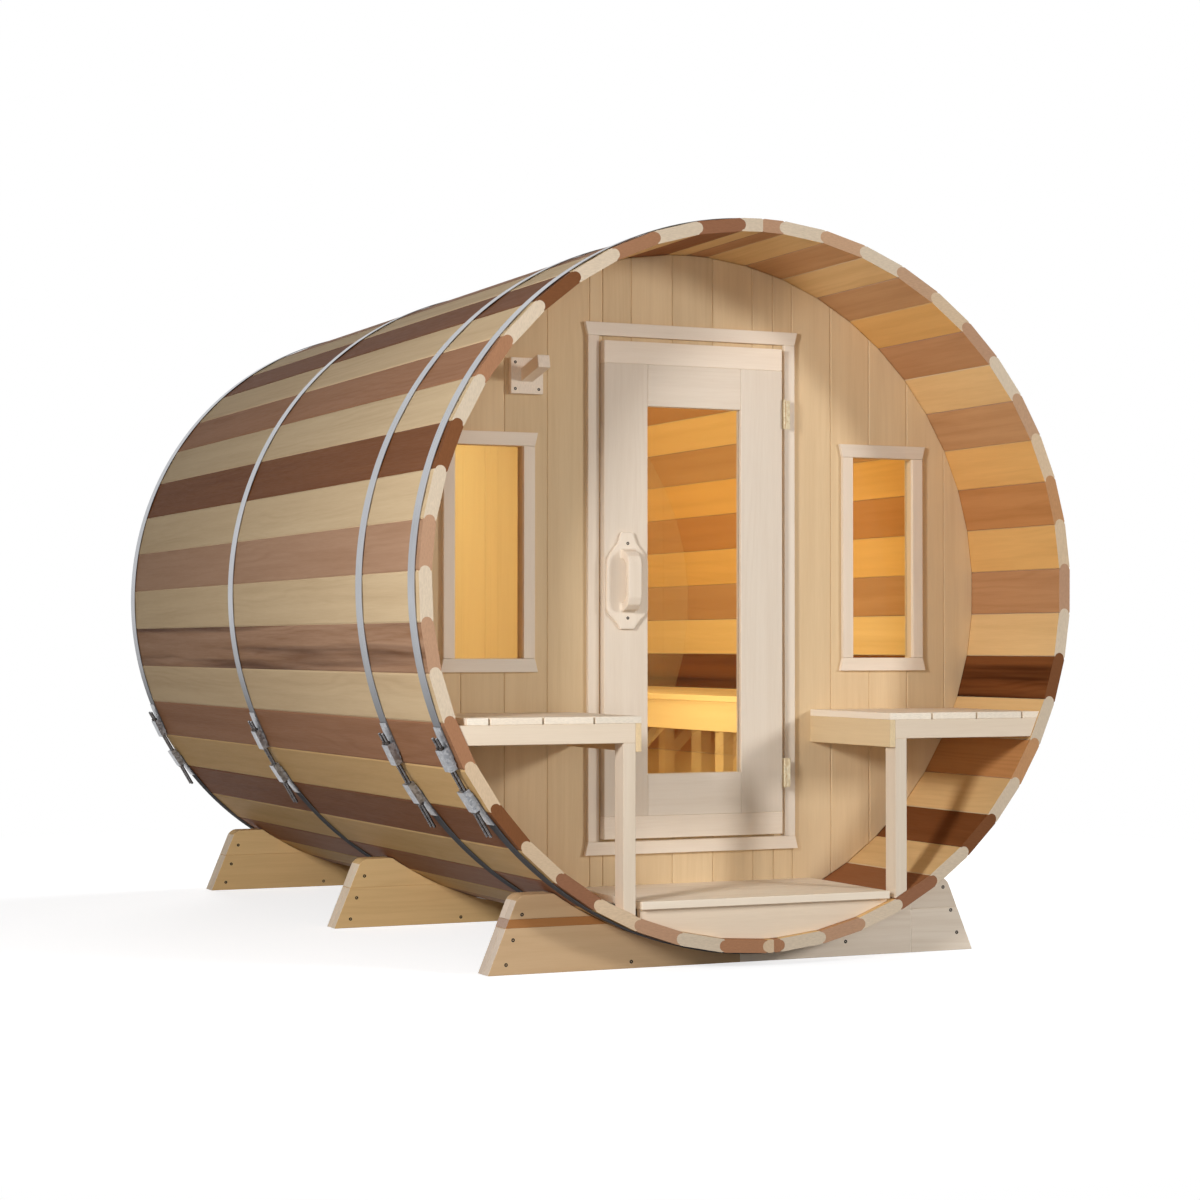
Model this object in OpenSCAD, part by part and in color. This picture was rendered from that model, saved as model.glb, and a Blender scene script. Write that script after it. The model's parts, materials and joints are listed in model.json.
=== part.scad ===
// Barrel sauna: a cylinder of staves on three cradles, with an open porch at its front end,
// a hinged glazed door in the porch wall and a cabin behind it.
// Millimetres, +Z up, porch towards -Y, origin on the ground under the middle of the barrel.
// Depths below are measured from the front rim, heights from the barrel's axis.

/* [Barrel] */
// Outer diameter over the corners of the staves
barrel_d = 2100; // [2090:1:2120]
// Length of the staves
barrel_len = 3100; // [3000:10:3300]
// Thickness of the staves
stave_t = 38; // [36:1:38]
// Angle of the joint between the two narrow staves at the bottom, clockwise from the top
low_joint = 178.2; // [176:0.1:184]
// Angle that each narrow stave takes
low_sweep = 1.2; // [1:0.1:2]
// Clear height under the barrel
ground_gap = 41; // [38:1:60]

/* [Bands] */
// Width of the steel bands
band_w = 52; // [40:1:56]
// Thickness of the steel bands
band_t = 3; // [2:0.5:4]
// Depth of the front band's middle
front_band_y = 50; // [45:1:80]
// Depth of the middle band
middle_band_y = 1775; // [1600:1:1900]
// Distance of the rear band's middle from the back end
rear_band_inset = 29; // [29:1:60]
// Angle of the tensioners' middle, clockwise from the top seen from the front
tensioner_angle = 239.5; // [235:0.5:250]
// Angle between the two lugs of a tensioner
lug_spread = 7; // [6:0.5:10]

/* [Cradles] */
// Thickness of a cradle, two plies
cradle_t = 76; // [60:1:90]
// Half width of a cradle on the ground
cradle_foot_x = 790; // [760:1:820]
// Half width of a cradle at its top corners
cradle_top_x = 698; // [690:1:720]
// Height of a cradle
cradle_h = 222; // [200:1:240]
// Height of the lower beam of a cradle
cradle_beam_h = 130; // [110:1:150]
// Depths of the front faces of the three cradles
cradle_y = [144, 1473, 2910];

/* [Walls] */
// Depth of the porch, to the front wall's face
porch_depth = 483; // [470:1:520]
// Thickness of the end walls
wall_t = 38; // [30:1:44]
// Distance of the back wall from the back end
back_wall_inset = 40; // [20:1:80]
// Sideways offset of the doorway and the windows
wall_shift = 10; // [0:1:12]
// Thickness of the casing boards round the door and windows
casing_t = 15; // [12:1:18]
// How much a casing's head and sill flare out at each end
casing_flare = 10; // [0:1:16]

/* [Door] */
// Width of the door leaf
leaf_w = 600; // [580:1:602]
// Height of the door leaf
leaf_h = 1484; // [1460:1:1494]
// Thickness of the door leaf
leaf_t = 32; // [28:1:32]
// Width of the door's stiles
stile_w = 143; // [130:1:150]
// Height of the door's outer rails
end_rail_h = 67; // [60:1:80]
// Height of the door's inner rails
inner_rail_h = 125; // [100:1:140]
// Height of a door hinge
hinge_h = 88; // [76:1:100]
// Length of the door handle
handle_len = 290; // [280:1:310]

/* [Windows] */
// Distance of a window's middle from the doorway's middle
window_x = 664; // [655:1:670]
// Clear width of a window
window_w = 216; // [200:1:224]
// Height of the windows' heads above the axis
window_top = 414; // [400:1:420]
// Clear height of a window
window_h = 625; // [600:1:640]

/* [Porch] */
// Height of the bench tops from the axis
bench_top = -370; // [-380:1:-350]
// Height of the floors' tops from the axis
floor_top = -889; // [-895:1:-880]
// Sideways offset of the porch floor and benches
porch_shift = 18; // [0:1:20]

/* [Cabin] */
// Height of the cabin bench top from the axis
cabin_bench_top = -337; // [-350:1:-320]
// Distance of the cabin bench's front edge from the centre line
cabin_bench_x = 378; // [340:1:400]

/* [Hidden] */
$fn = 96;

PALE = "BurlyWood";
DARK = "SaddleBrown";
CREAM = "Wheat";
STEEL = "Silver";
BRASS = "Goldenrod";
GLASS = "LightCyan";

// Barrel: on each side full staves, a half stave at the top and a narrow one at the bottom
half_ring = 23;
low_stave = half_ring + 1;
stave_count = 2 * low_stave + 2;
right_pitch = (low_joint - low_sweep) / (half_ring + 0.5);
left_pitch = (360 - low_joint - low_sweep) / (half_ring + 0.5);
barrel_r = barrel_d / 2;
axis_z = barrel_r + ground_gap;
seam = 0.4;
seam_angle = asin(seam / 2 / barrel_r);
fit = 0.5;
bore_r = barrel_r - stave_t / cos(max(right_pitch, left_pitch) / 2) - fit;

// Bands and tensioners
band_fit = 0.3;
band_r = barrel_r + band_fit;
porch_wall_band_y = porch_depth;
rear_band_y = barrel_len - rear_band_inset;
strap_fit = 0.1;
strap_r = band_r + band_t + strap_fit;
strap_t = 2.5;
strap_reach = 5;
lug = [66, 48, 21];
rod_r = 4;
rod_fit = 0.5;
rod_len = 317;
rod_offset = 14;
rod_drop = 24;
lug_base_r = strap_r + strap_t - 1;
rod_height = (lug_base_r + lug[2] / 2) * cos(lug_spread / 2);

// Doorway and door, with the leaf over the wall's face and proud of its casing
wall_back = porch_depth + wall_t;
back_wall_y = barrel_len - back_wall_inset - wall_t;
casing_front = porch_depth - casing_t;
hinge_room = 20;
latch_gap = 6;
head_gap = 16;
sill_gap = 8;
wall_gap = 6;
leaf_lap = 12;
jamb_x = (leaf_w + hinge_room + latch_gap) / 2;
jamb_w = 36;
casing_board = 40;
leaf_left = wall_shift - jamb_x + latch_gap;
leaf_right = wall_shift + jamb_x - hinge_room;
leaf_bottom = -748;
leaf_top = leaf_bottom + leaf_h;
leaf_back = porch_depth - wall_gap;
leaf_front = leaf_back - leaf_t;
frame_top = leaf_top + head_gap;
frame_bottom = leaf_bottom - sill_gap;
doorway_left = leaf_left + leaf_lap;
doorway_right = leaf_right - leaf_lap;
doorway_bottom = leaf_bottom + leaf_lap;
doorway_top = leaf_top - leaf_lap;
stile_bottom = leaf_bottom + end_rail_h;
stile_top = leaf_top - end_rail_h;
glass_left = leaf_left + stile_w;
glass_right = leaf_right - stile_w;
glass_bottom = stile_bottom + inner_rail_h;
glass_top = stile_top - inner_rail_h;
glass_t = 6;
leaf_glass_y = leaf_front + (leaf_t - glass_t) / 2;

// Door handle, as a bowed grip on a back plate
handle_x = leaf_left + stile_w / 2;
handle_z = 20;
plate_t = 12;
plate_edge = [
    [20, 1], [31, 0.78], [55, 0.58], [68, 0.42],
    [68, -0.61], [59, -0.71], [43, -0.81], [30, -0.92], [24, -1]
];
grip_w = 45;
grip_edge = [[11.5, 94], [40, 86], [58, 72], [66, 50]];
gap_edge = [[11, 68], [34, 60], [46, 44]];

// Door hinges, with three knuckles on one pin
hinge_z = [-562, 537];
knuckle_r = 5;
pin_r = 2.5;
pin_fit = 0.08;
knuckle_gap = 0.5;
knuckle_h = (hinge_h - 2 * knuckle_gap) / 3;
hinge_gap = 6;
hinge_axis = [leaf_right + hinge_gap / 2, leaf_front - 7];
hinge_plate_t = 1.5;
hinge_plate_d = 28;
hinge_flange_w = 34;

// Windows
window_bottom = window_top - window_h;
window_glass_y = porch_depth + 24;
board_gap = 0.5;

// Robe peg
peg_plate = [103, 20, 106];
peg_at = [-538, 620];
peg_side = 38;
peg_reach = 139;
peg_tilt = 13;

// Porch floor and benches
porch_floor_x = 400;
floor_t = 22;
end_panel_y = 20;
end_panel_t = 19;
bench_front_y = 3;
slat_t = 20;
slat_edges = [[402, 543], [549, 697], [703, 857], [863, 925]];
bench_under = bench_top - slat_t;
bench_rail_h = 55;
bench_rail_t = 35;
ledger_t = 20;
apron_x = 402;
apron_t = 18;
apron_h = 80;
leg_x = apron_x + apron_t;
leg_w = 38;
leg_d = 58;

// Cabin floor and bench
cabin_under = cabin_bench_top - slat_t;
cabin_slat_w = 134;
cabin_slat_pitch = 139;
cabin_slat_count = 4;
cabin_rail_x = cabin_bench_x + 6;
cabin_rail_t = 25;
cabin_rail_h = 98;
support_x = cabin_rail_x + cabin_rail_t;
support_post = [38, 60];
support_beam_h = 45;
support_y = [1080, 1771, 2462];
brace_t = 38;
brace_h = 55;
brace_reach = 100;

// Angle that stave i takes
function stave_sweep(i) =
    i == 0 ? right_pitch / 2
    : i == stave_count - 1 ? left_pitch / 2
    : i == low_stave || i == low_stave + 1 ? low_sweep
    : i < low_stave ? right_pitch
    : left_pitch;

// Angle where stave i starts, clockwise from the top seen from the front
function stave_start(i) = i == 0 ? 0 : stave_start(i - 1) + stave_sweep(i - 1);

function polar(r, a) = r * [sin(a), cos(a)];

// An edge's points in reverse order, with their coordinates multiplied
function flipped(edge, by) =
    [for (i = [len(edge) - 1 : -1 : 0]) [edge[i][0] * by[0], edge[i][1] * by[1]]];

// Half width of a cradle at a height above the ground
function cradle_x(h) = cradle_foot_x + (cradle_top_x - cradle_foot_x) * h / cradle_h;

// Moves from depths and heights on the barrel to the ground frame
module on_barrel() {
    translate([0, -barrel_len / 2, axis_z])
        children();
}

// Extrudes a front elevation between two depths
module between(y0, y1) {
    on_barrel()
        translate([0, y1, 0])
            rotate([90, 0, 0])
                linear_extrude(y1 - y0)
                    children();
}

// Rectangle of a front elevation
module span(x0, x1, z0, z1) {
    translate([x0, z0])
        square([x1 - x0, z1 - z0]);
}

// Inside of the staves, a little small so that what fits there stays clear
module bore_outline() {
    polygon([for (i = [0 : stave_count - 1]) polar(bore_r, stave_start(i))]);
}

module sector(a0, a1) {
    polygon([[0, 0], polar(2 * barrel_r, a0), polar(2 * barrel_r, (a0 + a1) / 2), polar(2 * barrel_r, a1)]);
}

module ring(r, t) {
    difference() {
        circle(r + t);
        circle(r);
    }
}

module mirrored() {
    for (side = [0, 1])
        mirror([side, 0])
            children();
}

// Staves: flat boards with radial edges
module stave_outline(i) {
    a0 = stave_start(i) + seam_angle;
    a1 = stave_start(i) + stave_sweep(i) - seam_angle;
    inner_r = barrel_r - stave_t / cos(stave_sweep(i) / 2);
    polygon([polar(inner_r, a0), polar(barrel_r, a0), polar(barrel_r, a1), polar(inner_r, a1)]);
}

module staves(first) {
    for (i = [first : 2 : stave_count - 1])
        between(0, barrel_len)
            stave_outline(i);
}

module pale_staves() {
    color(PALE) staves(1);
}

module dark_staves() {
    color(DARK) staves(0);
}

// Bands and their tensioners
module band(y) {
    color(STEEL)
        between(y - band_w / 2, y + band_w / 2)
            difference() {
                ring(band_r, band_t);
                sector(tensioner_angle - lug_spread / 2, tensioner_angle + lug_spread / 2);
            }
}

module at_angle(y, a) {
    on_barrel()
        translate([0, y, 0])
            rotate([0, a, 0])
                children();
}

module tensioner_rods(y, r, len) {
    at_angle(y, tensioner_angle)
        for (side = [-1, 1])
            translate([-rod_drop, side * rod_offset, rod_height])
                rotate([0, 90, 0])
                    cylinder(r = r, h = len, center = true);
}

module tensioner_lug(y, side) {
    a = tensioner_angle + side * lug_spread / 2;
    tip = a + side * strap_reach;
    difference() {
        union() {
            between(y - band_w / 2, y + band_w / 2)
                intersection() {
                    ring(strap_r, strap_t);
                    sector(min(a - side, tip), max(a - side, tip));
                }
            at_angle(y, a)
                translate([-lug[0] / 2, -lug[1] / 2, lug_base_r])
                    cube(lug);
        }
        tensioner_rods(y, rod_r + rod_fit, 2 * rod_len);
    }
}

module tensioner(y) {
    color(STEEL) {
        tensioner_lug(y, -1);
        tensioner_lug(y, 1);
        tensioner_rods(y, rod_r, rod_len);
    }
}

// Cradles: a beam on the ground, hollowed to the barrel, and a block on each end of it
module cradle_beam(y) {
    color(PALE)
        between(y, y + cradle_t)
            difference() {
                translate([0, -axis_z])
                    polygon([
                        [-cradle_foot_x, 0], [cradle_foot_x, 0],
                        [cradle_x(cradle_beam_h), cradle_beam_h], [-cradle_x(cradle_beam_h), cradle_beam_h]
                    ]);
                circle(barrel_r + fit);
            }
}

module cradle_blocks(y) {
    inner_x = barrel_r / 4;
    color(PALE)
        between(y, y + cradle_t)
            mirrored()
                difference() {
                    translate([0, -axis_z])
                        polygon([
                            [inner_x, cradle_beam_h], [cradle_x(cradle_beam_h), cradle_beam_h],
                            [cradle_top_x, cradle_h], [inner_x, cradle_h]
                        ]);
                    circle(barrel_r + fit);
                }
}

// End walls, the front one split round the doorway
module wall_panel(x0, x1, z0, z1) {
    intersection() {
        bore_outline();
        span(x0, x1, z0, z1);
    }
}

module window_hole(side) {
    x = wall_shift + side * window_x;
    span(x - window_w / 2, x + window_w / 2, window_bottom, window_top);
}

module front_wall_left() {
    color(CREAM)
        between(porch_depth, wall_back)
            difference() {
                wall_panel(-barrel_r, doorway_left, -barrel_r, barrel_r);
                window_hole(-1);
            }
}

module front_wall_right() {
    color(CREAM)
        between(porch_depth, wall_back)
            difference() {
                wall_panel(doorway_right, barrel_r, -barrel_r, barrel_r);
                window_hole(1);
            }
}

module front_wall_head() {
    color(CREAM)
        between(porch_depth, wall_back)
            wall_panel(doorway_left, doorway_right, doorway_top, barrel_r);
}

module front_wall_foot() {
    color(CREAM)
        between(porch_depth, wall_back)
            wall_panel(doorway_left, doorway_right, -barrel_r, doorway_bottom);
}

module back_wall() {
    color(CREAM)
        between(back_wall_y, back_wall_y + wall_t)
            bore_outline();
}

// Casings: a head and a sill that flare outwards, and straight jambs between them
module flared_board(half_w, z_near, z_far) {
    polygon([
        [-half_w, z_near], [half_w, z_near],
        [half_w + casing_flare, z_far], [-half_w - casing_flare, z_far]
    ]);
}

module door_casing_head_and_sill() {
    half_w = jamb_x + jamb_w;
    color(CREAM)
        between(casing_front, porch_depth)
            translate([wall_shift, 0]) {
                flared_board(half_w, frame_top, frame_top + casing_board);
                flared_board(half_w, frame_bottom, frame_bottom - casing_board);
            }
}

module door_casing_jambs() {
    color(CREAM)
        between(casing_front, porch_depth)
            translate([wall_shift, 0])
                mirrored()
                    span(jamb_x, jamb_x + jamb_w, frame_bottom, frame_top);
}

module window_casing(side) {
    half_w = window_w / 2 + jamb_w;
    color(CREAM)
        between(casing_front, porch_depth)
            translate([wall_shift + side * window_x, 0]) {
                flared_board(half_w, window_top, window_top + casing_board);
                flared_board(half_w, window_bottom, window_bottom - casing_board);
                mirrored()
                    span(window_w / 2, half_w, window_bottom + board_gap, window_top - board_gap);
            }
}

module left_window_casing() {
    window_casing(-1);
}

module right_window_casing() {
    window_casing(1);
}

module window_glass() {
    color(GLASS)
        between(window_glass_y, window_glass_y + glass_t)
            for (side = [-1, 1])
                window_hole(side);
}

// Door leaf
module door_stiles() {
    color(CREAM)
        between(leaf_front, leaf_back) {
            span(leaf_left, glass_left, stile_bottom, stile_top);
            span(glass_right, leaf_right, stile_bottom, stile_top);
        }
}

module door_end_rails() {
    color(CREAM)
        between(leaf_front, leaf_back) {
            span(leaf_left, leaf_right, leaf_bottom, stile_bottom);
            span(leaf_left, leaf_right, stile_top, leaf_top);
        }
}

module door_inner_rails() {
    color(CREAM)
        between(leaf_front, leaf_back) {
            span(glass_left, glass_right, stile_bottom, glass_bottom);
            span(glass_left, glass_right, glass_top, stile_top);
        }
}

module door_glass() {
    color(GLASS)
        between(leaf_glass_y, leaf_glass_y + glass_t)
            span(glass_left, glass_right, glass_bottom, glass_top);
}

// Side of the bowed grip, with the finger gap behind it
module grip_side() {
    difference() {
        polygon(concat(grip_edge, flipped(grip_edge, [1, -1])));
        polygon(concat(gap_edge, flipped(gap_edge, [1, -1])));
    }
}

module plate_front() {
    scale([1, handle_len / 2])
        polygon(concat(plate_edge, flipped(plate_edge, [-1, 1])));
}

module door_handle() {
    color(CREAM)
        on_barrel()
            translate([handle_x, leaf_front, handle_z]) {
                rotate([90, 0, 0])
                    linear_extrude(plate_t)
                        plate_front();
                translate([-grip_w / 2, 0, 0])
                    rotate([90, 0, 90])
                        linear_extrude(grip_w)
                            mirror([1, 0])
                                grip_side();
            }
}

// Hinges: the frame's leaf carries the pin and two knuckles, the door's leaf the middle knuckle
module at_hinges() {
    on_barrel()
        for (z = hinge_z)
            translate([hinge_axis[0], hinge_axis[1], z])
                children();
}

module knuckle(place) {
    translate([0, 0, place * (knuckle_h + knuckle_gap) - knuckle_h / 2])
        cylinder(r = knuckle_r, h = knuckle_h);
}

module hinge_tab(x, place) {
    translate([x, 0, place * (knuckle_h + knuckle_gap) - knuckle_h / 2])
        cube([hinge_plate_t, leaf_front - hinge_axis[1] + 1, knuckle_h]);
}

module hinge_plate(x, depth) {
    translate([x, leaf_front - hinge_axis[1], -hinge_h / 2])
        cube([hinge_plate_t, depth, hinge_h]);
}

module frame_hinge_leaves() {
    plate_x = hinge_gap / 2 - hinge_plate_t;
    flange_y = casing_front - hinge_axis[1] - hinge_plate_t;
    color(BRASS)
        at_hinges() {
            cylinder(r = pin_r, h = hinge_h, center = true);
            hinge_plate(plate_x, casing_front - leaf_front);
            translate([plate_x, flange_y, -hinge_h / 2])
                cube([hinge_flange_w, hinge_plate_t, hinge_h]);
            for (place = [-1, 1]) {
                knuckle(place);
                hinge_tab(plate_x, place);
            }
        }
}

module door_hinge_leaves() {
    plate_x = -hinge_gap / 2;
    color(BRASS)
        at_hinges()
            difference() {
                union() {
                    knuckle(0);
                    hinge_tab(plate_x, 0);
                    hinge_plate(plate_x, hinge_plate_d);
                }
                cylinder(r = pin_r + pin_fit, h = hinge_h, center = true);
            }
}

// Robe peg: a square peg that slopes up out of a plate on the wall
module robe_peg() {
    color(CREAM)
        on_barrel()
            translate([peg_at[0], porch_depth, peg_at[1]]) {
                translate([-peg_plate[0] / 2, -peg_plate[1], -peg_plate[2] / 2])
                    cube(peg_plate);
                translate([0, -peg_plate[1] / 2, 0])
                    rotate([-peg_tilt, 0, 0])
                        translate([-peg_side / 2, -peg_reach, -peg_side / 2])
                            cube([peg_side, peg_reach, peg_side]);
            }
}

// Porch benches: slats from the rim to the wall, on a front rail, a ledger and an apron
module porch_side(side) {
    translate([porch_shift, 0])
        mirror([side < 0 ? 1 : 0, 0])
            children();
}

module bench_slats(side) {
    color(CREAM)
        between(bench_front_y, porch_depth)
            intersection() {
                bore_outline();
                porch_side(side)
                    for (edges = slat_edges)
                        span(edges[0], edges[1], bench_under, bench_top);
            }
}

module left_bench_slats() {
    bench_slats(-1);
}

module right_bench_slats() {
    bench_slats(1);
}

module bench_rail_outline(side) {
    intersection() {
        bore_outline();
        porch_side(side)
            span(leg_x, barrel_r, bench_under - bench_rail_h, bench_under);
    }
}

module porch_bench_rails() {
    color(CREAM)
        for (side = [-1, 1]) {
            between(bench_front_y, bench_front_y + bench_rail_t)
                bench_rail_outline(side);
            between(porch_depth - ledger_t, porch_depth)
                bench_rail_outline(side);
        }
}

module porch_bench_aprons() {
    color(CREAM)
        between(bench_front_y, porch_depth)
            for (side = [-1, 1])
                porch_side(side)
                    span(apron_x, apron_x + apron_t, bench_under - apron_h, bench_under);
}

module porch_bench_legs() {
    color(CREAM)
        between(bench_front_y, bench_front_y + leg_d)
            intersection() {
                bore_outline();
                for (side = [-1, 1])
                    porch_side(side)
                        span(leg_x, leg_x + leg_w, -barrel_r, bench_under - bench_rail_h);
            }
}

module porch_floor() {
    color(CREAM)
        between(bench_front_y, porch_depth)
            translate([porch_shift, 0])
                span(-porch_floor_x, porch_floor_x, floor_top - floor_t, floor_top);
}

module porch_end_panel() {
    color(PALE)
        between(end_panel_y, end_panel_y + end_panel_t)
            intersection() {
                bore_outline();
                translate([porch_shift, 0])
                    span(-porch_floor_x, porch_floor_x, -barrel_r, floor_top - floor_t);
            }
}

// Cabin floor, wedged between the staves
module cabin_floor() {
    color(PALE)
        between(wall_back, back_wall_y)
            wall_panel(-barrel_r, barrel_r, floor_top - floor_t, floor_top);
}

// Cabin bench along the right-hand staves
module cabin_bench_slats() {
    color(PALE)
        between(wall_back, back_wall_y)
            for (i = [0 : cabin_slat_count - 1])
                let (x = cabin_bench_x + i * cabin_slat_pitch)
                    wall_panel(x, x + cabin_slat_w, cabin_under, cabin_bench_top);
}

module cabin_bench_rail() {
    color(PALE)
        between(wall_back, back_wall_y)
            span(cabin_rail_x, cabin_rail_x + cabin_rail_t, cabin_under - cabin_rail_h, cabin_under);
}

module cabin_bench_supports() {
    color(PALE)
        for (y = support_y)
            between(y - support_post[1] / 2, y + support_post[1] / 2) {
                span(support_x, support_x + support_post[0], floor_top, cabin_under);
                wall_panel(support_x, barrel_r, cabin_under - support_beam_h, cabin_under);
            }
}

// Knee braces from the posts up to the bearers
module cabin_bench_braces() {
    post_right = support_x + support_post[0];
    beam_under = cabin_under - support_beam_h;
    color(PALE)
        for (y = support_y)
            between(y - brace_t / 2, y + brace_t / 2)
                polygon([
                    [post_right, beam_under - brace_reach - brace_h],
                    [post_right, beam_under - brace_reach],
                    [post_right + brace_reach, beam_under],
                    [post_right + brace_reach + brace_h, beam_under]
                ]);
}

pale_staves();
dark_staves();
band(front_band_y);  // front_band
band(porch_wall_band_y);  // porch_wall_band
band(middle_band_y);  // middle_band
band(rear_band_y);  // rear_band
tensioner(front_band_y);  // front_band_tensioner
tensioner(porch_wall_band_y);  // porch_wall_band_tensioner
tensioner(middle_band_y);  // middle_band_tensioner
tensioner(rear_band_y);  // rear_band_tensioner
cradle_beam(cradle_y[0]);  // front_cradle_beam
cradle_beam(cradle_y[1]);  // middle_cradle_beam
cradle_beam(cradle_y[2]);  // rear_cradle_beam
cradle_blocks(cradle_y[0]);  // front_cradle_blocks
cradle_blocks(cradle_y[1]);  // middle_cradle_blocks
cradle_blocks(cradle_y[2]);  // rear_cradle_blocks
front_wall_left();
front_wall_right();
front_wall_head();
front_wall_foot();
back_wall();
door_casing_head_and_sill();
door_casing_jambs();
left_window_casing();
right_window_casing();
window_glass();
door_stiles();
door_end_rails();
door_inner_rails();
door_glass();
door_handle();
door_hinge_leaves();
frame_hinge_leaves();
robe_peg();
left_bench_slats();
right_bench_slats();
porch_bench_rails();
porch_bench_aprons();
porch_bench_legs();
porch_floor();
porch_end_panel();
cabin_floor();
cabin_bench_slats();
cabin_bench_rail();
cabin_bench_supports();
cabin_bench_braces();
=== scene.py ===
"""Looks of the barrel sauna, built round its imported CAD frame.

Metres, in the frame's axes: +Z up, the porch towards -Y, +X to the right seen from the porch.
Angles round the barrel run clockwise from its top, seen from the porch.
"""

import json
import math
import random

import bmesh
import bpy
from mathutils import Matrix, Vector

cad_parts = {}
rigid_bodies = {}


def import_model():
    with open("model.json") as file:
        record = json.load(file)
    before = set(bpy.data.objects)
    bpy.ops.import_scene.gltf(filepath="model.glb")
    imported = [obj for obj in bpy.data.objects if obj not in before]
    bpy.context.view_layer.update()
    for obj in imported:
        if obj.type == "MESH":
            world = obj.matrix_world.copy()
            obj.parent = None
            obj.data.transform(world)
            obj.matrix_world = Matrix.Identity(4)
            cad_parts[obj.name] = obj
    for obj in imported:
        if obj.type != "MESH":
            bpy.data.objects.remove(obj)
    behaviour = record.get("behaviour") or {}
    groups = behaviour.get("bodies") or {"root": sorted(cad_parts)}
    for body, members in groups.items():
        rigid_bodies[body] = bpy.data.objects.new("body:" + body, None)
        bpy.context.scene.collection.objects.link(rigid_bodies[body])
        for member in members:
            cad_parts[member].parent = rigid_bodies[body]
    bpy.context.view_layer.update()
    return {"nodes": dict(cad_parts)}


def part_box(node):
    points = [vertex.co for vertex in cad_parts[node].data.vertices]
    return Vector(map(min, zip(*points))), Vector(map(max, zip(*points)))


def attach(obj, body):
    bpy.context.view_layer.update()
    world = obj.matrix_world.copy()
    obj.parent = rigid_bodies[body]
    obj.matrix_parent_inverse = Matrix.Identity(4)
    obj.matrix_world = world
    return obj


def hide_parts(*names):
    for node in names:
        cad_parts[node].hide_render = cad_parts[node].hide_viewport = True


for leftover in list(bpy.data.objects):
    bpy.data.objects.remove(leftover)
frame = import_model()
chance = random.Random(11)

X, Y, Z = 0, 1, 2
FORWARD = (0, -1, 0)
BACKWARD = (0, 1, 0)

# Limits for welding and cutting meshes
WELD = 1e-5
CUT = 1e-6
CORNER = 1e-4
SLIVER = 1e-4
FLAT_ANGLE = math.radians(0.5)
SHARP_ANGLE = math.radians(25)
FACING = 0.8  # least cosine between a face's normal and the direction that it faces

# Barrel: the staves are counted clockwise from the top, and two narrow ones close the ring at the bottom
BARREL_R = 1.05
STAVE_T = 0.038
HALF_RING = 23
LOW_STAVE = HALF_RING + 1
STAVE_COUNT = 2 * LOW_STAVE + 2
LOW_JOINT = math.radians(178.2)
LOW_SWEEP = math.radians(1.2)
RIGHT_PITCH = (LOW_JOINT - LOW_SWEEP) / (HALF_RING + 0.5)
LEFT_PITCH = (math.tau - LOW_JOINT - LOW_SWEEP) / (HALF_RING + 0.5)
STAVE_ARRIS = 0.0024
ARRIS_W = 0.005
BEAD_SHOULDER = 0.08
BEAD_RISE = 0.36
BEAD_STEPS = 12
FRONT_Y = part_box("pale_staves")[0].y
BACK_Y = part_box("pale_staves")[1].y
AXIS_Z = (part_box("rear_band")[0].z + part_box("rear_band")[1].z) / 2

# Bands and tensioners
BANDS = ("front_band", "porch_wall_band", "middle_band", "rear_band")
BAND_STEPS = 240
BAND_GAP = 0.0003
BAND_EDGE = 0.0008
# Heights between which painted shade darkens the bands towards the ground
PAINTED_SHADE_ENDS = (AXIS_Z - 0.05, AXIS_Z - 0.6)
TENSIONER_ANGLE = math.radians(239.5)
LUG_SPREAD = math.radians(7)
LUG_ARRIS = 0.005
LUG_STEPS = 3
ROD_R = 0.004
ROD_LEN = 0.317
ROD_DROP = 0.024
ROD_OFFSET = 0.014
ROD_HEIGHT = BARREL_R + 0.0134
THREAD_PITCH = 0.0025
THREAD_RIDGE = 0.0004
THREAD_ROOT = 0.00005
THREAD_SIDES = 12
NUT_R = 0.0075
NUT_H = 0.0065
NUT_AT = 0.102
NUT_SIDES = 6
NUT_RINGS = ((-0.5, 0.9), (-0.4, 1.0), (0.4, 1.0), (0.5, 0.9))  # shares of its height and radius

# Boards
WALL_SEAM_X = -0.054
WALL_BOARD_W = 0.137
FLOOR_BOARD_W = 0.096
CABIN_BOARD_W = 0.12
WALL_ARRIS = 0.0036
LEAF_ARRIS = 0.0022
BOARD_ARRIS = 0.0018
FLOOR_ARRIS = 0.0015

# How far the boards of one piece differ in brightness, and in warmth as a share of that
PIECE_VARY = 0.06
BOARD_VARY = 0.05
PALE_VARY = 0.05
DARK_VARY = 0.04
WARMTH_SHARE = 0.3
GRAIN_REACH = 30

# Cradles
CRADLES = ("front", "middle", "rear")
SHOULDER_R = 0.024
SHOULDER_STEPS = 6
CRADLE_JOINT_X = 0.575
# Dark band along the bottom of the front cradle's left blocks: its height and edge rounding
DARK_BAND_H = 0.024
DARK_BAND_ARRIS = 0.0004

# Door handle
HANDLE_VOXEL = 0.0025
HANDLE_WEAR = 0.5
HANDLE_PASSES = 10

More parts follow.
